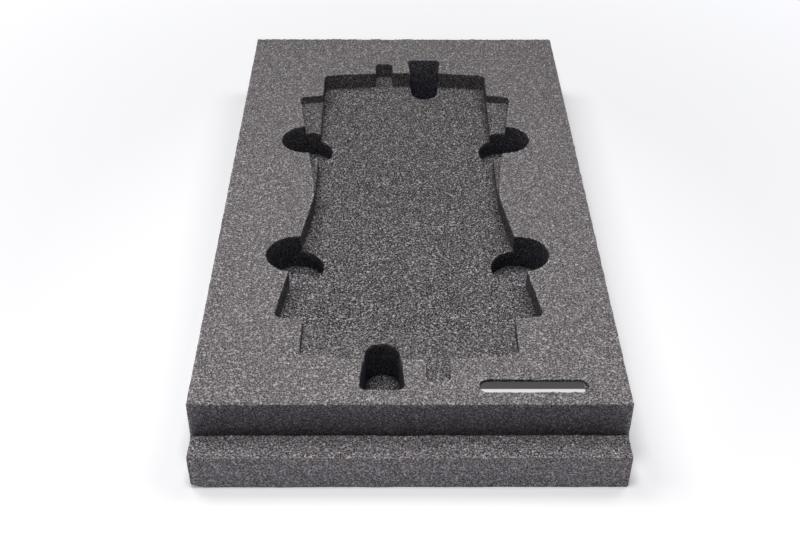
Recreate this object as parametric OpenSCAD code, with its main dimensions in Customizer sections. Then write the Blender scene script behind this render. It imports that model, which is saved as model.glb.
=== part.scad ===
// Foam case insert: a milled foam block with a ledge along its front and a
// pocket on two levels, which holds a pair of flared plates one on the other,
// head to tail. Lengths are in millimetres. The origin is at the middle of the
// base, +Z is up and the ledge faces -Y.

/* [Block] */
// Width of the block
block_w = 204; // [180:1:260]
// Length of the block at its base
block_l = 372; // [370:1:460]
// Height of the block
block_h = 40; // [32:1:60]
// Depth of the front ledge, front to back
ledge_d = 14; // [6:0.5:16]
// Height of the front ledge above the base
ledge_h = 20; // [8:0.5:26]

/* [Plate pocket] */
// How far the pocket lies ahead of the middle of the block
pocket_forward = 2.5; // [0:0.5:4]
// Depth of the pocket for each of the two plates
plate_depth = 5; // [3:0.5:7]
// Width of a plate's straight tail
tail_w = 105; // [80:1:120]
// Length of the tail, from the waist to the middle of its end
tail_l = 139.5; // [120:0.5:142]
// Width of the flared head at its corners
head_w = 134; // [122:1:150]
// Length of the head, from the waist to the middle of its end
head_l = 114; // [95:0.5:118]
// Radius of the arc across each end of a plate
end_r = 350; // [250:10:600]
// How much further the upper plate's tab and slot reach than the lower plate's
upper_reach = 2.5; // [0:0.5:4]
// Radius of the foam where it curves in at the waist
waist_r = 80; // [40:5:120]
// Corner radius that the milling cutter leaves
cutter_r = 3; // [1:0.5:4]

/* [Tab recess] */
// Width of the recess for the tab on a plate's tail
tab_w = 11; // [9:0.5:16]
// Length of the tab recess beyond the tail
tab_l = 12.5; // [8:0.5:18]
// Sideways offset of the tab recess from the middle of the tail
tab_offset = 13.5; // [10:0.5:30]

/* [Handle slot] */
// Depth of the slot below the level that its plate lies on
slot_below_plate = 21; // [16:0.5:27]
// Width of the slot at its outer end
slot_outer_w = 21.5; // [16:0.5:26]
// Width of the slot at its rounded inner end
slot_inner_w = 17; // [12:0.5:21]
// Length of the slot beyond the tail
slot_beyond_tail = 17.5; // [12:0.5:24]
// Length of the slot back under the tail
slot_under_tail = 17; // [10:0.5:24]
// Sideways offset of the slot from the middle of the tail
slot_offset = 13; // [11:0.5:30]

/* [Finger holes] */
// Diameter of a finger hole
finger_d = 30; // [20:1:36]
// Depth of a finger hole below the top face
finger_depth = 20; // [12:0.5:30]
// Distance of a finger hole from the waist, along the block
finger_from_waist = 57; // [40:0.5:75]

/* [Label] */
// Length of the label plate
label_l = 48.4; // [30:0.2:70]
// Width of the label plate
label_w = 7.4; // [5:0.2:9]
// Thickness of the label plate
label_t = 0.6; // [0.4:0.1:1]
// How much of its round end is cut off the label plate
label_trim = 1.4; // [0.2:0.2:2.4]
// Gap all round the label plate in its recess, apart from what is cut off
label_gap = 0.35; // [0.2:0.05:0.8]
// Depth of the label recess below the top face
label_recess_depth = 1.4; // [1:0.1:4]
// Foam between the label recess and the side of the block
label_side_margin = 19.3; // [10:0.1:30]
// Foam between the label recess and the face above the ledge
label_front_margin = 8.2; // [4:0.1:9]

/* [Hidden] */

$fn = 64;
overcut = 1;
waist_steps = 6;
end_steps = 8;

upper_front_y = ledge_d - block_l / 2;
flare = (head_w - tail_w) / 2;
tail_depth = 2 * plate_depth;

// Length of the head at its corners, where the arc of its end has fallen back
head_corner_l = head_l - end_r + sqrt(pow(end_r, 2) - pow(head_w / 2, 2));

// Angle of the flare: a line from the head's corner that touches the waist's arc
waist_to_corner = norm([waist_r - flare, head_corner_l]);
flare_angle = atan2(head_corner_l, waist_r - flare) - acos(waist_r / waist_to_corner);

// A finger hole is centred on the flared side of the plate
finger_side = tail_w / 2 + waist_r * (1 - cos(flare_angle))
    + (finger_from_waist - waist_r * sin(flare_angle)) * tan(flare_angle);

label_pill_l = label_l + label_trim;
label_recess_l = label_pill_l + 2 * label_gap;
label_recess_w = label_w + 2 * label_gap;
label_x = block_w / 2 - label_side_margin - label_recess_l / 2;
label_y = upper_front_y + label_front_margin + label_recess_w / 2;

// Direction from one point to another
function heading(from, to) = (to - from) / norm(to - from);

// Half the angle between the two sides that meet at a corner
function half_angle(before, corner, after) =
    acos(heading(corner, before) * heading(corner, after)) / 2;

// Where the arc at a rounded corner starts and ends
function arc_ends(before, corner, after, r) =
    let (reach = r / tan(half_angle(before, corner, after)))
    [corner + reach * heading(corner, before), corner + reach * heading(corner, after)];

// Centre of the arc at a rounded corner
function arc_centre(before, corner, after, r) =
    let (middle = heading(corner, before) + heading(corner, after))
    corner + middle / norm(middle) * r / sin(half_angle(before, corner, after));

// An outline whose listed corners are rounded and whose other points stay sharp
module rounded_outline(points, r, rounded) {
    count = len(points);
    function before(i) = points[(i + count - 1) % count];
    function after(i) = points[(i + 1) % count];
    function is_rounded(i) = len(search(i, rounded)) > 0;
    polygon([
        for (i = [0 : count - 1])
            each is_rounded(i) ? arc_ends(before(i), points[i], after(i), r) : [points[i]]
    ]);
    for (i = rounded)
        translate(arc_centre(before(i), points[i], after(i), r))
            circle(r);
}

// Points of the waist's arc on one side, from the flare to the straight tail
function waist_arc(side) = [
    for (step = [waist_steps : -1 : 0])
        let (angle = flare_angle * step / waist_steps)
        [side * (tail_w / 2 + waist_r * (1 - cos(angle))), -waist_r * sin(angle)]
];

// Points of the arc across an end that is l from the waist and w wide at its corners
function end_arc(l, w) = [
    for (step = [0 : end_steps])
        let (angle = asin(w / 2 / end_r) * (1 - 2 * step / end_steps))
        [end_r * sin(angle), l - end_r * (1 - cos(angle))]
];

// Outline of one plate's pocket: the head flares towards -Y, the tail runs to +Y
module plate_outline() {
    right_waist = waist_arc(1);
    left_waist = waist_arc(-1);
    tail_end = end_arc(tail_l, tail_w);
    head_end = [for (p = end_arc(head_l, head_w)) -p];
    points = concat(
        right_waist, tail_end, [for (i = [len(left_waist) - 1 : -1 : 0]) left_waist[i]], head_end);
    tail_corner = len(right_waist);
    head_corner = len(points) - len(head_end);
    rounded_outline(points, cutter_r, [
        tail_corner, tail_corner + end_steps, head_corner, head_corner + end_steps
    ]);
}

// Outline of the recess for the tab on the end of a tail, with any further reach
module tab_outline(reach) {
    inner = tail_l - 2 * cutter_r;
    outer = tail_l + tab_l + reach;
    left = -tab_offset - tab_w / 2;
    right = -tab_offset + tab_w / 2;
    rounded_outline([[left, inner], [right, inner], [right, outer], [left, outer]], cutter_r, [2, 3]);
}

// Outline of a handle slot, with any further reach: its sides close in on a round inner end
module slot_outline(reach) {
    inner_r = slot_inner_w / 2;
    outer = [slot_outer_w / 2, slot_beyond_tail + reach + slot_under_tail - inner_r];
    translate([slot_offset, tail_l - slot_under_tail + inner_r]) {
        circle(inner_r);
        rounded_outline(
            [[-inner_r, 0], [inner_r, 0], outer, [-outer.x, outer.y]], cutter_r, [2, 3]);
    }
}

// A strip with round ends
module pill(l, w) {
    square([l - w, w], center = true);
    for (side = [-1, 1])
        translate([side * (l - w) / 2, 0])
            circle(d = w);
}

// Cuts a flat outline down from the top face
module mill(depth) {
    translate([0, 0, block_h - depth])
        linear_extrude(depth + overcut)
            children();
}

// Everything that is milled for one plate, to its own depth
module plate_cuts(depth, reach) {
    mill(depth) plate_outline();
    mill(depth) tab_outline(reach);
    mill(depth + slot_below_plate) slot_outline(reach);
    for (side = [-1, 1])
        translate([side * finger_side, -finger_from_waist])
            mill(finger_depth) circle(d = finger_d);
}

// The block before milling, drawn from the side and extruded across its width
module stepped_block() {
    side_view = [
        [-block_l / 2, 0], [block_l / 2, 0], [block_l / 2, block_h],
        [upper_front_y, block_h], [upper_front_y, ledge_h], [-block_l / 2, ledge_h]
    ];
    translate([-block_w / 2, 0, 0])
        rotate([90, 0, 90])
            linear_extrude(block_w)
                polygon(side_view);
}

module foam_block() {
    color("#55555a")
        difference() {
            stepped_block();
            translate([0, -pocket_forward, 0]) {
                plate_cuts(tail_depth, 0);
                rotate(180) plate_cuts(plate_depth, upper_reach);
            }
            translate([label_x, label_y, 0])
                mill(label_recess_depth) pill(label_recess_l, label_recess_w);
        }
}

module label_plate() {
    color("#3a3a3c")
        translate([label_x, label_y, block_h - label_recess_depth])
            linear_extrude(label_t)
                intersection() {
                    pill(label_pill_l, label_w);
                    translate([-label_trim / 2, 0])
                        square([label_l, label_w], center = true);
                }
}

foam_block();
label_plate();
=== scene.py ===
"""Looks of the foam case insert: the milled foam block, its label strip, floor, light and camera."""
import math

import bpy
import numpy as np
from mathutils import Matrix


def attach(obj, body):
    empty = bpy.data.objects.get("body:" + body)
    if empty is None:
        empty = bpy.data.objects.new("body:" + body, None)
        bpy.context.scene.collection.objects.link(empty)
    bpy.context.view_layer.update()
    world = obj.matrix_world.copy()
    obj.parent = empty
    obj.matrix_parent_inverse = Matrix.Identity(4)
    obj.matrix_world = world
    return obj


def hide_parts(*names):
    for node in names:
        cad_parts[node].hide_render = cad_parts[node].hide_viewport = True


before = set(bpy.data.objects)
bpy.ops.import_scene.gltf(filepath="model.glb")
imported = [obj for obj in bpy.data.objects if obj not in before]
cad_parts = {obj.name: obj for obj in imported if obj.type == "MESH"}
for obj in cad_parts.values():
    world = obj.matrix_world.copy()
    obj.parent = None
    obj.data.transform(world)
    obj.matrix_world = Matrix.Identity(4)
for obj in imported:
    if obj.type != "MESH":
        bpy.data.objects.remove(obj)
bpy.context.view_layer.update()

MM = 0.001

# Sizes in millimetres, the same as in the part's source
BLOCK_W = 204
BLOCK_L = 372
BLOCK_H = 40
LEDGE_D = 14
LEDGE_H = 20
POCKET_FORWARD = 2.5
PLATE_DEPTH = 5
TAIL_W = 105
TAIL_L = 139.5
HEAD_W = 134
HEAD_L = 114
END_R = 350
UPPER_REACH = 2.5
WAIST_R = 80
CUTTER_R = 3
TAB_W = 11
TAB_L = 12.5
TAB_OFFSET = 13.5
SLOT_BELOW_PLATE = 21
SLOT_OUTER_W = 21.5
SLOT_INNER_W = 17
SLOT_BEYOND_TAIL = 17.5
SLOT_UNDER_TAIL = 17
SLOT_OFFSET = 13
FINGER_D = 30
FINGER_DEPTH = 20
FINGER_FROM_WAIST = 57
LABEL_L = 48.4
LABEL_W = 7.4
LABEL_T = 0.6
LABEL_TRIM = 1.4
LABEL_GAP = 0.35
LABEL_RECESS_DEPTH = 1.4
LABEL_SIDE_MARGIN = 19.3
LABEL_FRONT_MARGIN = 8.2

# What follows from those sizes, as it does in the source
UPPER_FRONT_Y = LEDGE_D - BLOCK_L / 2
SHALLOW_FLOOR = BLOCK_H - PLATE_DEPTH
POCKET_FLOOR = BLOCK_H - 2 * PLATE_DEPTH
FINGER_FLOOR = BLOCK_H - FINGER_DEPTH
FLARE = (HEAD_W - TAIL_W) / 2
HEAD_CORNER_L = HEAD_L - END_R + math.sqrt(END_R ** 2 - HEAD_W ** 2 / 4)
FLARE_ANGLE = (math.atan2(HEAD_CORNER_L, WAIST_R - FLARE)
               - math.acos(WAIST_R / math.hypot(WAIST_R - FLARE, HEAD_CORNER_L)))
FINGER_SIDE = (TAIL_W / 2 + WAIST_R * (1 - math.cos(FLARE_ANGLE))
               + (FINGER_FROM_WAIST - WAIST_R * math.sin(FLARE_ANGLE)) * math.tan(FLARE_ANGLE))
LABEL_PILL_L = LABEL_L + LABEL_TRIM
LABEL_X = BLOCK_W / 2 - LABEL_SIDE_MARGIN - LABEL_PILL_L / 2 - LABEL_GAP
LABEL_Y = UPPER_FRONT_Y + LABEL_FRONT_MARGIN + LABEL_W / 2 + LABEL_GAP
LABEL_FLOOR = BLOCK_H - LABEL_RECESS_DEPTH

# Points on each arc of an outline, and over a softened edge
CORNER_POINTS = 9
END_POINTS = 9
WAIST_POINTS = 7
ROUND_POINTS = 33
EDGE_POINTS = 5

# A length in millimetres below which two places count as one
NEAR = 1e-6


def linear(hex_colour, alpha=1.0):
    """Linear colour from an sRGB hex value."""
    levels = [int(hex_colour[i:i + 2], 16) / 255 for i in (1, 3, 5)]
    return (*[c / 12.92 if c <= 0.04045 else ((c + 0.055) / 1.055) ** 2.4 for c in levels], alpha)


def add_node(tree, kind, inputs=None, **settings):
    """Adds a node: settings are its properties, inputs are values or the outputs that feed its sockets."""
    node = tree.nodes.new(kind)
    for name, value in settings.items():
        setattr(node, name, value)
    for socket, value in (inputs or {}).items():
        if isinstance(value, bpy.types.NodeSocket):
            tree.links.new(value, node.inputs[socket])
        else:
            node.inputs[socket].default_value = value
    return node


def new_material(name):
    """An empty node material, with its tree."""
    material = bpy.data.materials.new(name)
    material.use_nodes = True
    material.node_tree.nodes.clear()
    return material, material.node_tree


def mesh_object(name, points, faces, material):
    """An object at the origin, from points in millimetres and a list of arrays of faces, one array for each
    number of corners."""
    mesh = bpy.data.meshes.new(name)
    sizes = np.concatenate([np.full(len(f), f.shape[1]) for f in faces])
    corners = np.concatenate([f.ravel() for f in faces]).astype(np.int32)
    mesh.vertices.add(len(points))
    mesh.vertices.foreach_set("co", (points * MM).astype(np.float32).ravel())
    mesh.loops.add(len(corners))
    mesh.loops.foreach_set("vertex_index", corners)
    mesh.polygons.add(len(sizes))
    mesh.polygons.foreach_set("loop_start", (np.cumsum(sizes) - sizes).astype(np.int32))
    mesh.polygons.foreach_set("use_smooth", np.ones(len(sizes), bool))
    mesh.update(calc_edges=True)
    mesh.validate()
    mesh.materials.append(material)
    piece = bpy.data.objects.new(name, mesh)
    bpy.context.scene.collection.objects.link(piece)
    return piece


# Outlines of the cuts, seen from above


def arc(centre, radius, start, end, count):
    """Points on a circular arc: the centre plus the radius at evenly spaced angles."""
    angle = np.linspace(start, end, count)
    return np.asarray(centre) + radius * np.column_stack([np.cos(angle), np.sin(angle)])


def rounded_corner(before, corner, after):
    """Arc of the cutter's radius that touches both sides of a corner: its centre lies on the line that halves
    the corner's angle."""
    before, corner, after = (np.asarray(p, float) for p in (before, corner, after))
    one = (before - corner) / np.linalg.norm(before - corner)
    two = (after - corner) / np.linalg.norm(after - corner)
    half = math.acos(np.clip(one @ two, -1, 1)) / 2
    centre = corner + (one + two) / np.linalg.norm(one + two) * CUTTER_R / math.sin(half)
    first = corner + one * CUTTER_R / math.tan(half) - centre
    last = corner + two * CUTTER_R / math.tan(half) - centre
    start = math.atan2(first[1], first[0])
    turn = math.atan2(first[0] * last[1] - first[1] * last[0], first @ last)
    return arc(centre, CUTTER_R, start, start + turn, CORNER_POINTS)


def end_arc(length, width):
    """Right half of the arc across a plate's end, from its corner to the middle: a circle whose top lies on
    the middle line at the plate's length."""
    half = math.asin(width / 2 / END_R)
    return arc((0, length - END_R), END_R, math.pi / 2 - half, math.pi / 2, END_POINTS)


def plate_outline():
    """One plate: a straight tail, an arc at the waist, a head whose sides run on along the arc's tangent, and
    both ends crowned by a wide arc."""
    waist = arc((TAIL_W / 2 + WAIST_R, 0), WAIST_R, math.pi + FLARE_ANGLE, math.pi, WAIST_POINTS)
    head = end_arc(HEAD_L, HEAD_W) * (1, -1)
    tail = end_arc(TAIL_L, TAIL_W)
    head_corner = rounded_corner(head[1], head[0], waist[0])
    tail_corner = rounded_corner(waist[-1], tail[0], tail[1])
    right = np.concatenate([head[:0:-1], head_corner, waist, tail_corner, tail[1:]])
    return np.concatenate([right, right[-2:0:-1] * (-1, 1)])


def tab_outline(reach):
    """The recess for a plate's tab, with any further reach: a rectangle with rounded outer corners."""
    left, right = -TAB_OFFSET - TAB_W / 2, -TAB_OFFSET + TAB_W / 2
    inner, outer = TAIL_L - 2 * CUTTER_R, TAIL_L + TAB_L + reach
    return np.concatenate([
        [(left, inner), (right, inner)],
        rounded_corner((right, inner), (right, outer), (left, outer)),
        rounded_corner((right, outer), (left, outer), (left, inner))])


def slot_outline(reach):
    """A handle slot, with any further reach: a round inner end, sides that spread from its widest points, and
    two rounded outer corners."""
    inner_r = SLOT_INNER_W / 2
    half = SLOT_OUTER_W / 2
    length = SLOT_BEYOND_TAIL + reach + SLOT_UNDER_TAIL - inner_r
    inner_end = arc((0, 0), inner_r, math.pi, 2 * math.pi, ROUND_POINTS)
    right = rounded_corner((inner_r, 0), (half, length), (-half, length))
    left = right[::-1] * (-1, 1)
    return np.concatenate([inner_end, right, left]) + (SLOT_OFFSET, TAIL_L - SLOT_UNDER_TAIL + inner_r)


def distance_to_outline(outline):
    """Signed distance to a closed outline, negative inside: the least distance to its sides, with the sign
    from the number of sides that a ray to the right crosses."""
    start, end = outline, np.roll(outline, -1, axis=0)
    side = end - start
    length_2 = (side ** 2).sum(1)

    def distance(points):
        away = points[:, None, :] - start[None]
        along = np.clip((away * side).sum(2) / length_2, 0, 1)
        nearest = np.sqrt(((away - along[..., None] * side) ** 2).sum(2)).min(1)
        above = points[:, None, 1] >= start[None, :, 1]
        below = points[:, None, 1] < end[None, :, 1]
        turn = side[:, 0] * away[..., 1] - side[:, 1] * away[..., 0]
        crossed = ((above & below & (turn > 0)) | (~above & ~below & (turn < 0))).sum(1)
        return np.where(crossed % 2 == 1, -nearest, nearest)

    return distance


def distance_to_circle(x, y, radius):
    """Signed distance to a circle: the distance to its centre less its radius."""
    return lambda points: np.hypot(points[:, 0] - x, points[:, 1] - y) - radius


def distance_to_pill(x, y, length, width):
    """Signed distance to a strip with round ends: the distance to its middle line less half its width."""
    half = (length - width) / 2
    return lambda points: np.hypot(
        points[:, 0] - x - np.clip(points[:, 0] - x, -half, half), points[:, 1] - y) - width / 2


def distance_off_block(points):
    """Signed distance to the space round the block, negative outside the block."""
    return np.minimum(BLOCK_W / 2 - np.abs(points[:, 0]), BLOCK_L / 2 - np.abs(points[:, 1]))


def distance_to_ledge(points):
    """Signed distance to the strip above the ledge, negative ahead of the upper front face."""
    return points[:, 1] - UPPER_FRONT_Y


def all_cuts():
    """Every cut as its floor height and its signed distance: the space round the block, the ledge, both
    plates with what belongs to each, one turned end for end, and the label recess."""
    cuts = [(0.0, distance_off_block), (float(LEDGE_H), distance_to_ledge)]
    for turn, level, reach in ((1, POCKET_FLOOR, 0), (-1, SHALLOW_FLOOR, UPPER_REACH)):
        outlines = (
            (level, plate_outline()),
            (level, tab_outline(reach)),
            (level - SLOT_BELOW_PLATE, slot_outline(reach)))
        for floor, outline in outlines:
            cuts.append((float(floor), distance_to_outline(turn * outline - (0, POCKET_FORWARD))))
        for side in (-1, 1):
            cuts.append((float(FINGER_FLOOR), distance_to_circle(
                side * FINGER_SIDE, -turn * FINGER_FROM_WAIST - POCKET_FORWARD, FINGER_D / 2)))
    cuts.append((LABEL_FLOOR, distance_to_pill(
        LABEL_X, LABEL_Y, LABEL_PILL_L + 2 * LABEL_GAP, LABEL_W + 2 * LABEL_GAP)))
    return cuts


# The foam block

# The mesh: plan cells a little over a millimetre wide, rows up the walls, and a coarser underside
CELLS_ACROSS = 163
CELLS_ALONG = 298
WALL_STEP = 2.2
BOTTOM_STEP = 6

# A face this close to the outside is part of it, and no wall of the pocket counts as lower than this
OUTSIDE_BAND = 1
LOWEST_WALL = 1

# Crisp milled edges, rounder worn ones outside, and rows up the foot as shares of its rounding
EDGE_ROUND = 0.3
OUTER_ROUND = 1.1
FOOT_ROUND = 0.4
FOOT_ROWS = (0, 0.3, 1)

# The rubbed foot at the front left: how far it is lifted, and where the lift ends and how it falls off
# across, along and up the block
WORN_CORNER = 2.2
WORN_CORNER_REACH = (7, 25, 16)
WORN_CORNER_POWER = (1.5, 1, 1)

# Slow waves in the surface, and the random moves of points on torn rims, on the feet of walls and elsewhere
WAVE = 0.07
WAVELENGTH = 14.0
WAVE_COUNT = 10
WAVE_SEED = 3
TORN_RIM = 0.16
TORN_FOOT = 0.14
TORN_FACE = 0.015
TORN_SEED = 7
SHARP_ANGLE = math.radians(62)

# Pores and the grit between them, in metres, and the colours of the foam, its flecks, and the painted blue
# tint of its shadows
PORE = 0.85 * MM
GRIT = 0.58 * MM
FOAM_COLOUR = "#716c6e"
FLECK_COLOUR = "#6f6c6d"
SHADOW_TINT_COLOUR = "#69667e"

# The relief is grit plus a share of the pores' depth, and painted glints, bright flecks on the pores with the
# highest chance.
# Paint follows the relief either side of its usual level, down to a darkest share, and to pale ribs above.
PORE_SHARE = 0.55
GLINT = 0.22
GLINT_CHANCE = 0.84
RELIEF_LEVEL = 0.77
DARKEST = 0.15
RIB_RANGE = (0.9, 1.6)
EYE_POWER = 2.2
BUMP_DEPTH = 0.25 * MM

# Each kind of face: how light it is, how strongly its pores show, and how much painted blue shadow tint it
# has.
# A cutter tears open more pores than a saw does, so milled faces are partly darker in their own tone; on top
# of that the lightness of each kind is painted shade, matched to how much light reaches it: walls, holes,
# slots, floors and the face above the ledge are painted darker.
FINISH_AND_SHADE = {
    "top": (1.0, 2.25, 0.0),
    "outside": (1.06, 1.8, 0.12),
    "step": (0.63, 1.6, 0.22),
    "ledge": (0.86, 2.7, 0.05),
    "shallow_floor": (0.64, 3.0, 0.0),
    "floor": (0.53, 4.1, 0.0),
    "wall": (0.46, 2.3, 0.12),
    "hole_floor": (0.6, 4.3, 0.1),
    "hole_wall": (0.33, 2.2, 1.0),
    "slot_floor": (0.46, 4.6, 0.2),
    "slot_wall": (0.53, 2.2, 1.0),
}
# Painted highlight: the points on every rim are this much lighter, as edges catch more light
RIM_HIGHLIGHT = 1.28

# How painted shade and painted shadow tint change over some kinds of face, as places in millimetres and
# shares
# of the full value: the face above the ledge is painted darker down towards the ledge and lighter in towards
# its ends, holes darker and bluer further down, and floors darker in towards their walls. Over the pocket's
# floor the place is the distance from a side wall, in heights of that wall.
STEP_SHADE = ((LEDGE_H, BLOCK_H), (0.72, 1.0))
STEP_END_LIGHT = ((0, 3, 9), (1.7, 1.3, 1.0))
HOLE_SHADE = ((9, 20, 30, BLOCK_H), (0.4, 0.54, 0.78, 1.0))
HOLE_SHADOW_TINT = ((15, 33), (1.0, 0.25))
HOLE_FLOOR_SHADE = ((0, 3, 8), (0.3, 0.75, 1.05))
FLOOR_SHADE_BY_WALL = ((0, 0.34, 0.8), (0.55, 0.8, 1.0))


def wall_heights(levels):
    """Heights shared by all walls: every level, a row just under each level for the rounded edge, even rows
    between them, and rows for the rounded foot."""
    heights = {share * FOOT_ROUND for share in FOOT_ROWS}
    for low, high in zip(levels[:-1], levels[1:]):
        rim = high - EDGE_ROUND
        rows = max(1, round((rim - low) / WALL_STEP))
        heights.update(np.linspace(low, rim, rows + 1))
        heights.add(high)
    return np.array(sorted(heights))


def pull_to_cuts(points, active, targets, distances, rounds=5, probe=0.02, damping=0.03):
    """Moves plan points until the distance to each of their active cuts is the target: damped least squares
    on the distances and their slopes, which brings a point with two cuts to the corner where these meet."""
    points = points.copy()
    for _ in range(rounds):
        squares = np.zeros((len(points), 2, 2)) + damping * np.eye(2)
        pull = np.zeros((len(points), 2))
        for cut, distance in enumerate(distances):
            rows = np.flatnonzero(active[cut])
            if len(rows) == 0:
                continue
            here = points[rows]
            slope = np.column_stack([
                distance(here + (probe, 0)) - distance(here - (probe, 0)),
                distance(here + (0, probe)) - distance(here - (0, probe))]) / (2 * probe)
            squares[rows] += slope[:, :, None] * slope[:, None, :]
            pull[rows] += slope * (targets[cut][rows] - distance(here))[:, None]
        points += np.linalg.solve(squares, pull[..., None])[..., 0]
    return points


def best_triangles(quads, points):
    """Two triangles per quad, split along the diagonal that leaves the larger smallest triangle."""
    def area(a, b, c):
        return np.linalg.norm(np.cross(points[b] - points[a], points[c] - points[a]), axis=1)
    a, b, c, d = quads.T
    first = np.minimum(area(a, b, c), area(a, c, d)) >= np.minimum(area(a, b, d), area(b, c, d))
    one = np.where(first[:, None], np.column_stack([a, b, c]), np.column_stack([a, b, d]))
    two = np.where(first[:, None], np.column_stack([a, c, d]), np.column_stack([b, c, d]))
    return np.concatenate([one, two])


def soft_waves(points):
    """Smooth noise in three directions: a sum of sines along fixed random directions."""
    rng = np.random.default_rng(WAVE_SEED)
    total = np.zeros_like(points)
    for _ in range(WAVE_COUNT):
        direction = rng.normal(size=3)
        direction *= 2 * math.pi / WAVELENGTH / np.linalg.norm(direction)
        wave = np.sin(points @ direction + rng.uniform(0, 2 * math.pi))
        total += wave[:, None] * rng.normal(size=3)
    return total / math.sqrt(WAVE_COUNT)


def round_edge(first, second, radius):
    """Rounds the edge of two faces: first and second are a point's depths behind them, and where both are
    under the radius the point goes straight out from, or in to, the circle that touches both faces."""
    gap_1, gap_2 = radius - first, radius - second
    near = (gap_1 > 0) & (gap_2 > 0)
    scale = np.where(near, radius / np.hypot(gap_1, np.where(near, gap_2, 1)), 1)
    return radius - gap_1 * scale, np.where(near, radius - gap_2 * scale, second)


def worn_outside(points):
    """The block with its outer edges rounded: upper and upright edges by a circle that touches both faces,
    and the foot by drawing each face in along a quarter circle. Its front left foot is rubbed away: lifted
    by a share that falls off along the three edges there."""
    x, y, z = points.T
    depth = {
        "side": BLOCK_W / 2 - np.abs(x),
        "back": BLOCK_L / 2 - y,
        "top": np.where(y < UPPER_FRONT_Y - NEAR, LEDGE_H, BLOCK_H) - z,
        "front": np.where(z > LEDGE_H + NEAR, y - UPPER_FRONT_Y, y + BLOCK_L / 2)}
    foot = FOOT_ROUND - np.sqrt(FOOT_ROUND ** 2 - np.clip(FOOT_ROUND - z, 0, None) ** 2)
    worn = {name: np.where((np.abs(d) < NEAR) & (name != "top"), foot, d) for name, d in depth.items()}
    edges = (("side", "top"), ("back", "top"), ("front", "top"), ("side", "back"), ("side", "front"))
    for one, other in edges:
        worn[one], worn[other] = round_edge(worn[one], worn[other], OUTER_ROUND)
    lift = WORN_CORNER
    from_corner = (x + BLOCK_W / 2, y + BLOCK_L / 2, z)
    for away, reach, power in zip(from_corner, WORN_CORNER_REACH, WORN_CORNER_POWER):
        lift = lift * np.clip(1 - away / reach, 0, 1) ** power
    return np.column_stack([
        np.sign(x) * (BLOCK_W / 2 - worn["side"]),
        y + worn["front"] - depth["front"] - worn["back"] + depth["back"],
        z - worn["top"] + depth["top"] + lift])


def own_cells(middle, floors, distances):
    """The cut that owns each plan cell and the height it leaves: the deepest cut that holds the cell's
    middle, and of equally deep ones the one it is furthest into."""
    shape = middle.shape[:2]
    owner = np.full(shape, -1)
    height = np.full(shape, float(BLOCK_H))
    inside_by = np.zeros(shape)
    for cut, distance in enumerate(distances):
        d = distance(middle.reshape(-1, 2)).reshape(shape)
        wins = (d < 0) & ((floors[cut] < height) | ((floors[cut] == height) & (d < inside_by)))
        owner[wins], height[wins], inside_by[wins] = cut, floors[cut], d[wins]
    return owner, height


def four_around(cells):
    """The values of the four cells round each inner grid point, as four rows."""
    across, along = np.array(cells.shape) - 1
    return np.stack([cells[i:i + across, j:j + along].ravel() for i in (0, 1) for j in (0, 1)])


def upright_walls(row, number, heights):
    """Walls between neighbouring cells of different height, with one quad for each row of heights, and the
    height of the floor that each quad stands over."""
    quads, base = [], []
    for first, second, left, right in (
            (row[:-1, :], row[1:, :], number[1:-1, :-1], number[1:-1, 1:]),
            (row[:, :-1], row[:, 1:], number[1:, 1:-1], number[:-1, 1:-1])):
        for low, high, start, end in ((first, second, right, left), (second, first, left, right)):
            at = low < high
            tall = (high - low)[at]
            below = np.repeat(np.cumsum(tall) - tall, tall)
            level = np.repeat(low[at], tall) + np.arange(tall.sum()) - below
            a = np.repeat(start[at], tall) * len(heights) + level
            b = np.repeat(end[at], tall) * len(heights) + level
            quads.append(np.column_stack([a, b, b + 1, a + 1]))
            base.append(np.repeat(heights[low[at]], tall))
    return np.concatenate(quads), np.concatenate(base)


def underside(number):
    """Triangles of the flat underside: inner grid points are drawn together onto every few lines, border
    points stay under the walls, and triangles that this leaves with two corners in one place are dropped."""
    lines = [np.arange(BOTTOM_STEP, count - 1, BOTTOM_STEP) for count in number.shape]
    nearest = [np.clip(np.rint(np.arange(count) / BOTTOM_STEP).astype(int) - 1, 0, len(line) - 1)
               for count, line in zip(number.shape, lines)]
    drawn = number.copy()
    drawn[1:-1, 1:-1] = number[np.ix_(lines[0][nearest[0]], lines[1][nearest[1]])][1:-1, 1:-1]
    a, b, c, d = (q.ravel() for q in (drawn[:-1, :-1], drawn[:-1, 1:], drawn[1:, 1:], drawn[1:, :-1]))
    triangles = np.concatenate([np.column_stack([a, b, c]), np.column_stack([a, c, d])])
    return triangles[(triangles != np.roll(triangles, 1, axis=1)).all(1)]


def face_kinds(middle, base, is_wall):
    """The kind of each face, as its place in FINISH_AND_SHADE, from its middle, the height of the floor that it is or
    stands over, and whether it is a wall."""
    x, y, z = middle.T
    outer = (np.abs(x) > BLOCK_W / 2 - OUTSIDE_BAND) | (np.abs(y) > BLOCK_L / 2 - OUTSIDE_BAND)
    in_step = (y < UPPER_FRONT_Y + OUTSIDE_BAND) & ~outer
    in_hole = base < POCKET_FLOOR - NEAR
    in_slot = base < FINGER_FLOOR - NEAR
    choices = {
        "outside": is_wall & outer,
        "step": is_wall & in_step,
        "top": z > BLOCK_H - NEAR,
        "ledge": in_step | (z == LEDGE_H) & outer,
        "slot_wall": is_wall & in_slot,
        "hole_wall": is_wall & in_hole,
        "wall": is_wall,
        "slot_floor": in_slot,
        "hole_floor": in_hole,
        "shallow_floor": z > SHALLOW_FLOOR - NEAR}
    kinds = list(FINISH_AND_SHADE)
    return np.select(list(choices.values()), [kinds.index(name) for name in choices], kinds.index("floor"))


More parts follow.
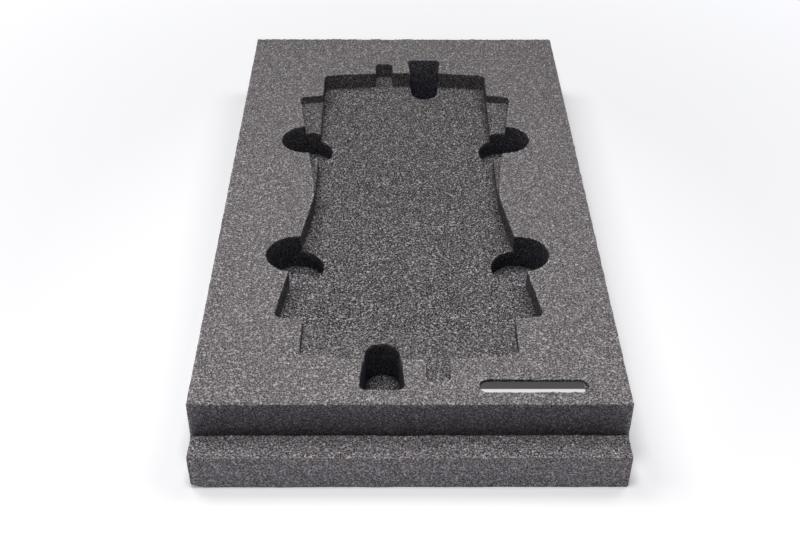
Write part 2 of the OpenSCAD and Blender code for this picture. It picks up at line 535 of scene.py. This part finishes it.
def from_side_wall(x, line, middle, grid_x, owner, height):
    """How far points are from the pocket's side walls, across the block, in heights of the wall: in each line
    of cells across the block the pocket runs from its first cell to its last."""
    in_pocket = (height < POCKET_FLOOR + NEAR) & (owner > 0)
    in_pocket &= np.abs(middle[..., 1] + POCKET_FORWARD) < TAIL_L
    end = len(in_pocket) - 1
    lines = np.arange(in_pocket.shape[1])
    first = in_pocket.argmax(0)
    last = end - in_pocket[::-1].argmax(0)
    left_wall = np.maximum(height[first - 1, lines] - POCKET_FLOOR, LOWEST_WALL)
    right_wall = np.maximum(height[np.minimum(last + 1, end), lines] - POCKET_FLOOR, LOWEST_WALL)
    return np.minimum((x - grid_x[first][line]) / left_wall[line],
                      (grid_x[last + 1][line] - x) / right_wall[line])


def foam_block_mesh():
    """The block as a terrace on a plan grid: a cell's height is the lowest cut that holds its middle, grid
    points where heights differ are pulled onto the cuts' outlines, and upright walls join the heights there.
    Gives the points, the triangles, and at every corner of the triangles the lightness with its painted
    shade, the pore contrast and the painted shadow tint."""
    cuts = all_cuts()
    floors = np.array([floor for floor, _ in cuts])
    distances = [distance for _, distance in cuts]
    heights = wall_heights(sorted({*floors, float(BLOCK_H)}))
    rows = len(heights)

    # Plan grid, with one ring of empty cells round the block
    cell = np.array([BLOCK_W / CELLS_ACROSS, BLOCK_L / CELLS_ALONG])
    grid_x = -BLOCK_W / 2 + cell[0] * np.arange(-1, CELLS_ACROSS + 2)
    grid_y = -BLOCK_L / 2 + cell[1] * np.arange(-1, CELLS_ALONG + 2)
    grid = np.stack(np.meshgrid(grid_x, grid_y, indexing="ij"), axis=2)
    middle = grid[:-1, :-1] + cell / 2
    plan = grid.reshape(-1, 2)
    number = np.arange(len(plan)).reshape(grid.shape[:2])
    owner, height = own_cells(middle, floors, distances)

    # Grid points where heights differ go to the outlines of the cuts that meet there
    inner = number[1:-1, 1:-1].ravel()
    round_owner = four_around(owner)
    round_height = np.full((4, len(plan)), -1.0)
    round_height[:, inner] = four_around(height)
    top = round_height[:, inner].max(0)
    active = np.zeros((len(floors), len(plan)), bool)
    for cut, floor in enumerate(floors):
        active[cut, inner] = (round_owner == cut).any(0) & (top > floor)
    on_outline = np.flatnonzero(active.any(0))
    no_gap = np.zeros((len(floors), len(on_outline)))
    plan[on_outline] = pull_to_cuts(plan[on_outline], active[:, on_outline], no_gap, distances)

    # Floors, walls and the underside: mesh points are numbered by plan point and height
    row = np.abs(heights[:, None, None] - height).argmin(0)
    i, j = np.nonzero(height > 0)
    floor_plan = np.column_stack([number[i, j], number[i + 1, j], number[i + 1, j + 1], number[i, j + 1]])
    floor_quads = floor_plan * rows + row[i, j][:, None]
    wall_quads, wall_base = upright_walls(row, number, heights)
    quads = np.concatenate([floor_quads, wall_quads])
    under = underside(number[1:-1, 1:-1]) * rows
    used, compact = np.unique(np.concatenate([quads.ravel(), under.ravel()]), return_inverse=True)
    plan_of, row_of = np.divmod(used, rows)
    points = np.column_stack([plan[plan_of], heights[row_of]])

    # Rounded edges: where a level ends at a lower cut, its own points stand back from that cut
    here = round_height[:, plan_of]
    z = points[:, 2].copy()
    on_level = (np.abs(here - z) < NEAR).any(0)
    is_rim = on_level & (here < z - NEAR).any(0) & (z > 0)
    is_foot = on_level & (here > z + NEAR).any(0) & (z > LEDGE_H - NEAR)
    rim = np.flatnonzero(is_rim)
    stand_back = np.where(floors[:, None] < z[rim] - NEAR, EDGE_ROUND, 0.0)
    points[rim, :2] = pull_to_cuts(points[rim, :2], active[:, plan_of[rim]], stand_back, distances)

    # Foam gives a little everywhere: slow waves, the roughness of its cells, and edges torn between them
    points = worn_outside(points)
    torn = np.select([is_rim, is_foot], [TORN_RIM, TORN_FOOT], TORN_FACE)[:, None]
    rough = WAVE * soft_waves(points) + torn * np.random.default_rng(TORN_SEED).normal(size=points.shape)
    rough[z < NEAR, 2] = 0
    points += rough
    triangles = best_triangles(compact[:quads.size].reshape(-1, 4), points)
    under_triangles = compact[quads.size:].reshape(-1, 3)

    # Lightness, pore contrast and shadow tint of each face come from its kind, and painted shade and painted
    # shadow tint change some kinds from place to place
    face_middle = np.column_stack([plan[quads // rows].mean(1), heights[quads % rows].mean(1)])
    is_wall = np.arange(len(quads)) >= len(floor_quads)
    base = np.append(face_middle[~is_wall, 2], wall_base)
    kind = np.tile(face_kinds(face_middle, base, is_wall), 2)
    finish_and_shade = np.array(list(FINISH_AND_SHADE.values()))[kind]
    in_holes = [-distance(plan) for floor, distance in cuts[2:] if floor < POCKET_FLOOR - NEAR]
    from_wall = np.max(in_holes, axis=0)[plan_of]
    from_end = BLOCK_W / 2 - np.abs(points[:, 0])
    line = np.minimum(plan_of % len(grid_y), len(grid_y) - 2)
    from_side = from_side_wall(points[:, 0], line, middle, grid_x, owner, height)
    shade_down_hole = np.interp(z, *HOLE_SHADE)
    shade_over_hole_floor = np.interp(from_wall, *HOLE_FLOOR_SHADE)
    tint_down_hole = np.interp(z, *HOLE_SHADOW_TINT)
    shares = {
        "shade": {
            "step": np.interp(z, *STEP_SHADE) * np.interp(from_end, *STEP_END_LIGHT),
            "floor": np.interp(from_side, *FLOOR_SHADE_BY_WALL),
            "hole_wall": shade_down_hole, "slot_wall": shade_down_hole,
            "hole_floor": shade_over_hole_floor, "slot_floor": shade_over_hole_floor},
        "contrast": {},
        "shadow_tint": {"hole_wall": tint_down_hole, "slot_wall": tint_down_hole}}
    values = {}
    for part, (name, by_kind) in enumerate(shares.items()):
        share = np.stack([by_kind.get(kind_name, np.ones(len(z))) for kind_name in FINISH_AND_SHADE])
        at_corner = finish_and_shade[:, part, None] * share[kind[:, None], triangles]
        # Painted highlight along every rim
        if name == "shade":
            at_corner *= np.where(is_rim, RIM_HIGHLIGHT, 1.0)[triangles]
        under_value = np.full(under_triangles.size, FINISH_AND_SHADE["outside"][part])
        values[name] = np.append(at_corner, under_value).astype(np.float32)
    return points, np.concatenate([triangles, under_triangles]), values


def foam_material():
    """Open-cell polyurethane foam, cut and milled: matt charcoal, with dark pores, paler ribs round them and
    a few painted glints, bright flecks where a rib would catch the light. The milled faces are coarser, and
    darker partly in their own tone and partly by painted shade; faces in shade carry a painted blue shadow
    tint."""
    material, tree = new_material("polyurethane_foam_cut")
    place = add_node(tree, "ShaderNodeTexCoord").outputs["Object"]
    shade, contrast, shadow_tint = (
        add_node(tree, "ShaderNodeAttribute", attribute_name=name).outputs["Fac"]
        for name in ("shade", "contrast", "shadow_tint"))
    pores = add_node(tree, "ShaderNodeTexVoronoi", {"Vector": place, "Scale": 1 / PORE, "Randomness": 1.0})
    grit = add_node(tree, "ShaderNodeTexNoise", {
        "Vector": place, "Scale": 1 / GRIT, "Detail": 1.5, "Roughness": 0.6})
    relief = add_node(tree, "ShaderNodeMath", {
        0: pores.outputs["Distance"], 1: PORE_SHARE, 2: grit.outputs["Fac"]}, operation="MULTIPLY_ADD")
    # Painted glints: a few pores get bright flecks, where a rib would catch the light
    chance = add_node(tree, "ShaderNodeSeparateColor", {"Color": pores.outputs["Color"]})
    glint = add_node(tree, "ShaderNodeMapRange", {
        "Value": chance.outputs["Red"], "From Min": GLINT_CHANCE, "From Max": 1.0, "To Max": GLINT})
    glinted = add_node(tree, "ShaderNodeMath", {0: relief.outputs[0], 1: glint.outputs[0]}, operation="ADD")
    # The paint follows the relief evenly as the eye sees it, so the light itself follows a power of it
    height = add_node(tree, "ShaderNodeMath", {0: glinted.outputs[0], 1: RELIEF_LEVEL}, operation="SUBTRACT")
    swing = add_node(tree, "ShaderNodeMath", {
        0: height.outputs[0], 1: contrast, 2: 1.0}, operation="MULTIPLY_ADD")
    lit = add_node(tree, "ShaderNodeMath", {0: swing.outputs[0], 1: DARKEST}, operation="MAXIMUM")
    fleck = add_node(tree, "ShaderNodeMath", {0: lit.outputs[0], 1: EYE_POWER}, operation="POWER")
    scale = add_node(tree, "ShaderNodeMath", {0: fleck.outputs[0], 1: shade}, operation="MULTIPLY")
    brightness = add_node(tree, "ShaderNodeMapRange", {
        "Value": lit.outputs[0], "From Min": RIB_RANGE[0], "From Max": RIB_RANGE[1]})
    rib = add_node(tree, "ShaderNodeMix", {
        0: brightness.outputs[0], 6: linear(FOAM_COLOUR), 7: linear(FLECK_COLOUR)}, data_type="RGBA")
    # Painted shadow tint: faces in shade, most of all deep in holes and slots, are mixed towards a cool blue
    tint = add_node(tree, "ShaderNodeMix", {
        0: shadow_tint, 6: rib.outputs[2], 7: linear(SHADOW_TINT_COLOUR)}, data_type="RGBA")
    colour = add_node(tree, "ShaderNodeVectorMath", {
        0: tint.outputs[2], 3: scale.outputs[0]}, operation="SCALE")
    bump = add_node(tree, "ShaderNodeBump", {
        "Height": relief.outputs[0], "Strength": 0.6, "Distance": BUMP_DEPTH})
    shader = add_node(tree, "ShaderNodeBsdfPrincipled", {
        "Base Color": colour.outputs[0], "Roughness": 0.95, "IOR": 1.5, "Specular IOR Level": 0.15,
        "Normal": bump.outputs["Normal"]})
    add_node(tree, "ShaderNodeOutputMaterial", {"Surface": shader.outputs["BSDF"]})
    return material


foam_points, foam_triangles, finish_and_shade_values = foam_block_mesh()
foam = mesh_object("milled_foam", foam_points, [foam_triangles], foam_material())
foam.data.set_sharp_from_angle(angle=SHARP_ANGLE)
for value_name, corner_values in finish_and_shade_values.items():
    foam.data.attributes.new(value_name, "FLOAT", "CORNER").data.foreach_set("value", corner_values)
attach(foam, "root")
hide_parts("foam_block")


# The label strip

# Softening of its edges, the soft line between its two colours, across it from its middle, and its fine grain
LABEL_SOFT = 0.18
LABEL_LINE = (-1.5, -1.1)
LABEL_WHITE = "#e9e7e6"
LABEL_DARK = "#4a484a"
LABEL_GRAIN = 0.6 * MM
LABEL_BUMP = 0.05 * MM


def label_strip_mesh():
    """A strip with one round end and the other round cut off straight: its outline is carried up over
    softened edges, drawn in along its own normals, and closed by a flat face above and below."""
    radius = LABEL_W / 2
    half_l = (LABEL_PILL_L - LABEL_W) / 2
    cut = math.acos((radius - LABEL_TRIM) / radius)
    left = arc((-half_l, 0), radius, math.pi / 2, 3 * math.pi / 2, ROUND_POINTS)
    lower = arc((half_l, 0), radius, -math.pi / 2, -cut, CORNER_POINTS)
    upper = arc((half_l, 0), radius, cut, math.pi / 2, CORNER_POINTS)
    outline = np.concatenate([left, lower, upper])
    ahead = np.roll(outline, -1, axis=0) - np.roll(outline, 1, axis=0)
    inward = np.column_stack([-ahead[:, 1], ahead[:, 0]]) / np.linalg.norm(ahead, axis=1)[:, None]
    bend = np.linspace(0, math.pi / 2, EDGE_POINTS)
    draw_in = LABEL_SOFT * np.concatenate([1 - np.sin(bend), 1 - np.cos(bend)])
    height = np.concatenate([LABEL_SOFT * (1 - np.cos(bend)), LABEL_T - LABEL_SOFT * (1 - np.sin(bend))])
    xy = outline[:, None, :] + inward[:, None, :] * draw_in[None, :, None]
    z = np.broadcast_to(height[None, :, None], (*xy.shape[:2], 1))
    grid = np.concatenate([xy, z], axis=2) + (LABEL_X, LABEL_Y, LABEL_FLOOR)
    number = np.arange(grid[..., 0].size).reshape(grid.shape[:2])
    after = np.roll(number, -1, axis=0)
    quads = np.stack([number[:, :-1], after[:, :-1], after[:, 1:], number[:, 1:]], axis=2).reshape(-1, 4)
    return grid.reshape(-1, 3), [quads, number[::-1, :1].T, number[:, -1:].T]


def label_material():
    """Printed polypropylene strip, satin: a dark upper part and a plain white lower band."""
    material, tree = new_material("polypropylene_strip_printed")
    place = add_node(tree, "ShaderNodeTexCoord").outputs["Object"]
    spread = add_node(tree, "ShaderNodeSeparateXYZ", {"Vector": place})
    grain = add_node(tree, "ShaderNodeTexNoise", {"Vector": place, "Scale": 1 / LABEL_GRAIN, "Detail": 2.0})
    edge = add_node(tree, "ShaderNodeMapRange", {
        "Value": spread.outputs["Y"], "From Min": (LABEL_Y + LABEL_LINE[0]) * MM,
        "From Max": (LABEL_Y + LABEL_LINE[1]) * MM})
    colour = add_node(tree, "ShaderNodeMix", {
        0: edge.outputs[0], 6: linear(LABEL_WHITE), 7: linear(LABEL_DARK)}, data_type="RGBA")
    rough = add_node(tree, "ShaderNodeMapRange", {
        "Value": grain.outputs["Fac"], "To Min": 0.4, "To Max": 0.6})
    bump = add_node(tree, "ShaderNodeBump", {
        "Height": grain.outputs["Fac"], "Strength": 0.15, "Distance": LABEL_BUMP})
    shader = add_node(tree, "ShaderNodeBsdfPrincipled", {
        "Base Color": colour.outputs[2], "Roughness": rough.outputs[0], "IOR": 1.49,
        "Normal": bump.outputs["Normal"]})
    add_node(tree, "ShaderNodeOutputMaterial", {"Surface": shader.outputs["BSDF"]})
    return material


label_points, label_faces = label_strip_mesh()
label = mesh_object("label_strip", label_points, label_faces, label_material())
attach(label, "root")
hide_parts("label_plate")


# Floor, light and camera

# The floor's reach and how far it lies under the block, in millimetres, its colours, and its painted glow by
# distance in metres: weak near the block so that short shadows show there, stronger far off to keep the floor
# white
FLOOR_REACH = 4000
FLOOR_DROP = 0.05
TABLE_WHITE = "#f4f4f4"
GLOW_WHITE = "#f6f7ff"
NEAR_GLOW = ((0.22, 0.6), (0.26, 0.6))
FAR_GLOW = ((0.7, 2.2), (0.0, 0.4))
AMBIENT = 0.02


def floor_material():
    """Opal acrylic table with a painted glow, weak near the block and stronger further off: white, with short
    shadows by the block.
    """
    material, tree = new_material("opal_acrylic_matt")
    place = add_node(tree, "ShaderNodeTexCoord").outputs["Object"]
    away = add_node(tree, "ShaderNodeVectorMath", {0: place}, operation="LENGTH")
    near, far = (
        add_node(tree, "ShaderNodeMapRange", {
            "Value": away.outputs["Value"],
            "From Min": start, "From Max": end, "To Min": low, "To Max": high})
        for (start, end), (low, high) in (NEAR_GLOW, FAR_GLOW))
    glow = add_node(tree, "ShaderNodeMath", {0: near.outputs[0], 1: far.outputs[0]}, operation="ADD")
    shader = add_node(tree, "ShaderNodeBsdfPrincipled", {
        "Base Color": linear(TABLE_WHITE), "Roughness": 0.9, "Specular IOR Level": 0.1,
        "Emission Color": linear(GLOW_WHITE), "Emission Strength": glow.outputs[0]})
    add_node(tree, "ShaderNodeOutputMaterial", {"Surface": shader.outputs["BSDF"]})
    return material


floor_corners = np.array([(-1, -1, 0), (1, -1, 0), (1, 1, 0), (-1, 1, 0)]) * FLOOR_REACH - (0, 0, FLOOR_DROP)
floor = mesh_object("floor", floor_corners, [np.array([[0, 1, 2, 3]])], floor_material())

# White surroundings that the camera sees, and that light the object only a little
world = bpy.data.worlds.new("studio")
world.use_nodes = True
background = world.node_tree.nodes["Background"]
seen = add_node(world.node_tree, "ShaderNodeLightPath").outputs["Is Camera Ray"]
strength = add_node(world.node_tree, "ShaderNodeMapRange", {"Value": seen, "To Min": AMBIENT, "To Max": 1.0})
background.inputs["Color"].default_value = (1, 1, 1, 1)
world.node_tree.links.new(strength.outputs[0], background.inputs["Strength"])
bpy.context.scene.world = world


def placed(data, right, up, backward, place):
    """An object for a light or a camera at a place in metres, with its own axes along three directions."""
    thing = bpy.data.objects.new(data.name, data)
    thing.matrix_world = Matrix([*np.column_stack([right, up, backward, place]), (0, 0, 0, 1)])
    bpy.context.scene.collection.objects.link(thing)
    return thing


def area_light(name, place, target, size, level):
    """A square soft light at a place, turned towards a target, both in metres. A level of one lights a white
    surface that faces it at the target to white."""
    data = bpy.data.lights.new(name, "AREA")
    data.size = size
    data.energy = level * math.pi ** 2 * math.dist(place, target) ** 2
    backward = np.array(place, float) - np.array(target, float)
    backward /= np.linalg.norm(backward)
    right = np.cross((0, 1, 0), backward)
    right /= np.linalg.norm(right)
    return placed(data, right, np.cross(backward, right), backward, place)


area_light("left_softbox", place=(-0.8, 0.52, 1.55), target=(0, 0, 0), size=0.7, level=0.285)
area_light("right_softbox", place=(0.8, 0.52, 1.55), target=(0, 0, 0), size=0.7, level=0.215)
area_light("overhead", place=(-0.04, -0.235, 0.68), target=(-0.035, -0.21, 0), size=0.2, level=0.53)

# The photograph's camera: its angles, its place in millimetres, its focal length and the image's width in
# pixels, and the sensor's width in millimetres
PITCH = math.radians(38.2306)
YAW = math.radians(0.4977)
ROLL = math.radians(0.3051)
EYE = (-8.219, -544.101, 412.732)
FOCAL_PIXELS = 1153.35
IMAGE_PIXELS = 800
SENSOR = 36


def photo_camera():
    """A camera that looks down by the pitch, turned aside by the yaw and leaned over by the roll."""
    forward = np.array([math.sin(YAW) * math.cos(PITCH), math.cos(YAW) * math.cos(PITCH), -math.sin(PITCH)])
    level = np.array([math.cos(YAW), -math.sin(YAW), 0])
    upright = np.cross(level, forward)
    right = level * math.cos(ROLL) + upright * math.sin(ROLL)
    up = upright * math.cos(ROLL) - level * math.sin(ROLL)
    data = bpy.data.cameras.new("camera")
    data.sensor_width = SENSOR
    data.sensor_fit = "HORIZONTAL"
    data.lens = SENSOR * FOCAL_PIXELS / IMAGE_PIXELS
    data.clip_start = 0.01
    return placed(data, right, up, -forward, np.array(EYE) * MM)


bpy.context.scene.camera = photo_camera()
bpy.context.scene.view_settings.view_transform = "Standard"
